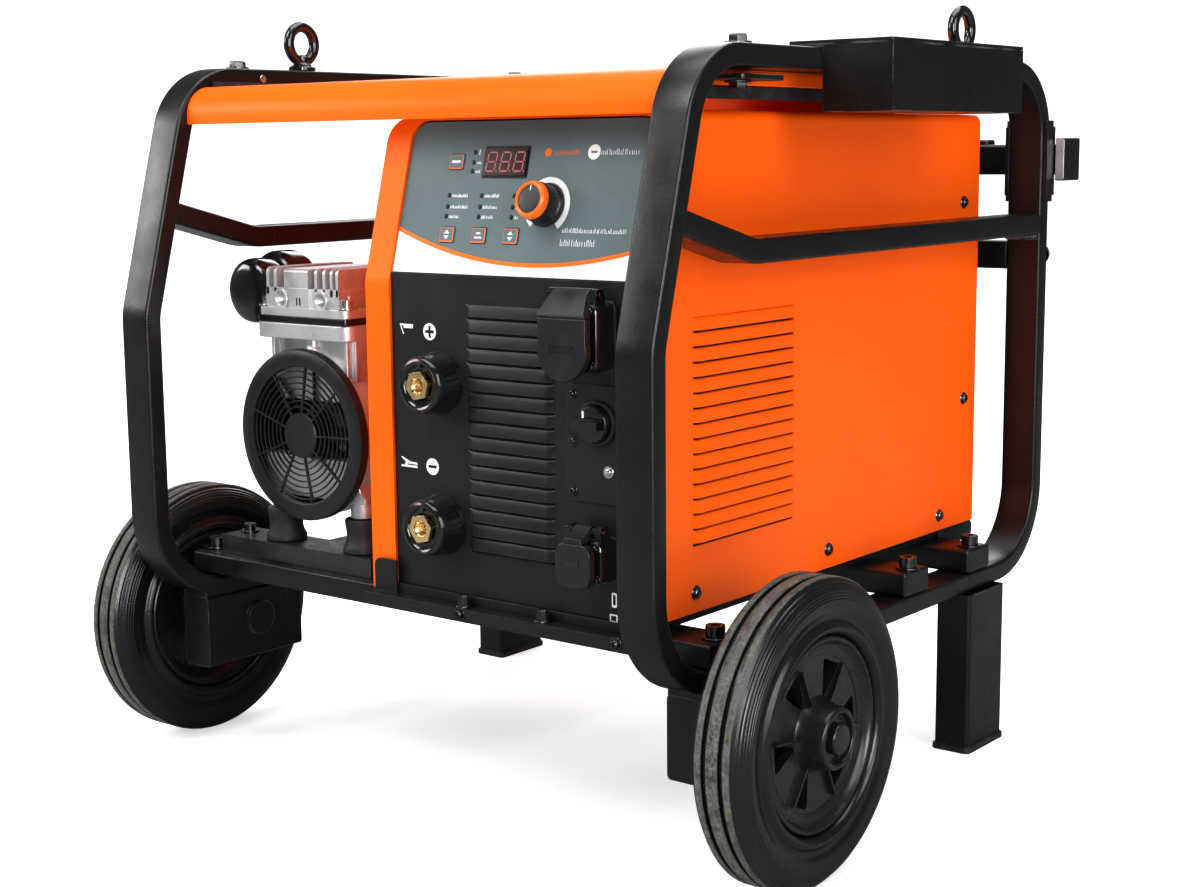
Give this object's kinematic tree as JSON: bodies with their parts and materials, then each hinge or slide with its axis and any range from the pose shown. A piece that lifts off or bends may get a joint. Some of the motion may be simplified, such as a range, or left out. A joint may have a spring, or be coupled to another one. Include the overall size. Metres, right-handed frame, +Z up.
{
  "type": "plasma cutter unit",
  "caption": "Inverter plasma cutting unit with a built-in piston air compressor in a tubular cage with wheels, rear legs, canopy and pull bar.",
  "frame": {"origin": "middle of the footprint, on the floor under the wheels and foot pads", "axes": "+Z up, +Y from the control panel to the rear pull bar, +X from the compressor side to the louvred side of the case"},
  "size_m": [0.764, 0.6974, 0.7068],
  "materials": {
    "black_coat": "black textured powder coat",
    "orange_coat": "bright orange powder coat, semi-gloss",
    "charcoal_coat": "dark charcoal powder coat, fine texture",
    "grey_film": "grey panel film, satin",
    "cast_alloy": "cast and machined, matt",
    "brass": "machined, bright",
    "black_plastic": "moulded black plastic, satin",
    "rubber": "moulded rubber, matt",
    "tyre_rubber": "solid rubber, dusty and worn on the tread",
    "red_lens": "dark red display lens, gloss",
    "board": "green circuit board with black capacitors",
    "transformer": "varnished core and copper windings"
  },
  "bodies": {
    "frame": {"left_hoop": "black_coat", "left_axle_bracket": "black_coat", "left_rear_leg": "black_coat", "left_foot_pad": "rubber", "right_hoop": "black_coat", "right_axle_bracket": "black_coat", "right_rear_leg": "black_coat", "right_foot_pad": "rubber", "left_eye_bolt": "black_coat", "right_eye_bolt": "black_coat", "top_canopy": "orange_coat", "rear_pull_bar": "black_coat", "rear_cross_rail": "black_coat", "front_cross_channel": "black_coat", "middle_cross_channel": "black_coat", "rear_cross_channel": "black_coat", "case_base_pan": "charcoal_coat", "case_cover": "orange_coat", "front_bezel": "orange_coat", "lower_front_panel": "charcoal_coat", "rear_panel": "charcoal_coat", "control_panel": "grey_film", "display_window": "red_lens", "plus_socket": "black_plastic", "plus_socket_insert": "brass", "minus_socket": "black_plastic", "minus_socket_insert": "brass", "upper_outlet_body": "black_plastic", "lower_outlet_body": "black_plastic", "heat_sink": "cast_alloy", "power_board": "board", "main_transformer": "transformer", "case_fan_frame": "black_plastic", "compressor_tray": "black_coat", "compressor_body": "cast_alloy", "fan_guard": "black_plastic", "valve_plate": "black_plastic", "cylinder_head": "cast_alloy", "front_air_filter": "black_plastic", "rear_air_filter": "black_plastic", "front_left_rubber_mount": "rubber", "front_right_rubber_mount": "rubber", "rear_left_rubber_mount": "rubber", "rear_right_rubber_mount": "rubber", "accessory_box": "black_coat"},
    "left_wheel": {"left_tyre": "tyre_rubber", "left_hub": "black_plastic"},
    "right_wheel": {"right_tyre": "tyre_rubber", "right_hub": "black_plastic"},
    "current_knob": {"current_knob": "black_plastic"},
    "reset_button": {"reset_button": "black_plastic"},
    "left_set_button": {"left_set_button": "black_plastic"},
    "middle_set_button": {"middle_set_button": "black_plastic"},
    "right_set_button": {"right_set_button": "black_plastic"},
    "rotary_switch": {"rotary_switch": "black_plastic"},
    "upper_outlet_cap": {"upper_outlet_cap": "black_plastic"},
    "lower_outlet_cap": {"lower_outlet_cap": "black_plastic"},
    "accessory_box_lid": {"accessory_box_lid": "black_coat"},
    "case_fan_rotor": {"case_fan_rotor": "black_plastic"},
    "compressor_fan": {"compressor_fan": "black_plastic"}
  },
  "joints": [
    {"name": "left_wheel_spin", "type": "hinge", "parent": "frame", "child": "left_wheel", "pos_m": [-0.357, -0.22365, 0.125], "axis": [1, 0, 0], "continuous": true},
    {"name": "right_wheel_spin", "type": "hinge", "parent": "frame", "child": "right_wheel", "pos_m": [0.357, -0.22365, 0.125], "axis": [1, 0, 0], "continuous": true},
    {"name": "current_knob_turn", "type": "hinge", "parent": "frame", "child": "current_knob", "pos_m": [0.146, -0.27655, 0.53568], "axis": [0, -0.9659, 0.2588], "range_deg": [-150, 150]},
    {"name": "reset_button_press", "type": "slide", "parent": "frame", "child": "reset_button", "axis": [0, 0.9659, -0.2588], "range_m": [0, 0.0008]},
    {"name": "left_set_button_press", "type": "slide", "parent": "frame", "child": "left_set_button", "axis": [0, 0.9659, -0.2588], "range_m": [0, 0.0008]},
    {"name": "middle_set_button_press", "type": "slide", "parent": "frame", "child": "middle_set_button", "axis": [0, 0.9659, -0.2588], "range_m": [0, 0.0008]},
    {"name": "right_set_button_press", "type": "slide", "parent": "frame", "child": "right_set_button", "axis": [0, 0.9659, -0.2588], "range_m": [0, 0.0008]},
    {"name": "rotary_switch_turn", "type": "hinge", "parent": "frame", "child": "rotary_switch", "pos_m": [0.211, -0.29395, 0.366], "axis": [0, 1, 0], "range_deg": [0, 90]},
    {"name": "upper_outlet_cap_hinge", "type": "hinge", "parent": "frame", "child": "upper_outlet_cap", "pos_m": [0.203, -0.30995, 0.4682], "axis": [-1, 0, 0], "range_deg": [0, 105]},
    {"name": "lower_outlet_cap_hinge", "type": "hinge", "parent": "frame", "child": "lower_outlet_cap", "pos_m": [0.21, -0.30795, 0.2822], "axis": [-1, 0, 0], "range_deg": [0, 105]},
    {"name": "accessory_box_lid_hinge", "type": "hinge", "parent": "frame", "child": "accessory_box_lid", "pos_m": [0.274, -0.00165, 0.661], "axis": [0, -1, 0], "range_deg": [0, 100]},
    {"name": "case_fan_spin", "type": "hinge", "parent": "frame", "child": "case_fan_rotor", "pos_m": [0.108, 0.24455, 0.4], "axis": [0, 1, 0], "continuous": true},
    {"name": "compressor_fan_spin", "type": "hinge", "parent": "frame", "child": "compressor_fan", "pos_m": [-0.1555, -0.24865, 0.322], "axis": [0, 1, 0], "continuous": true}
  ]
}
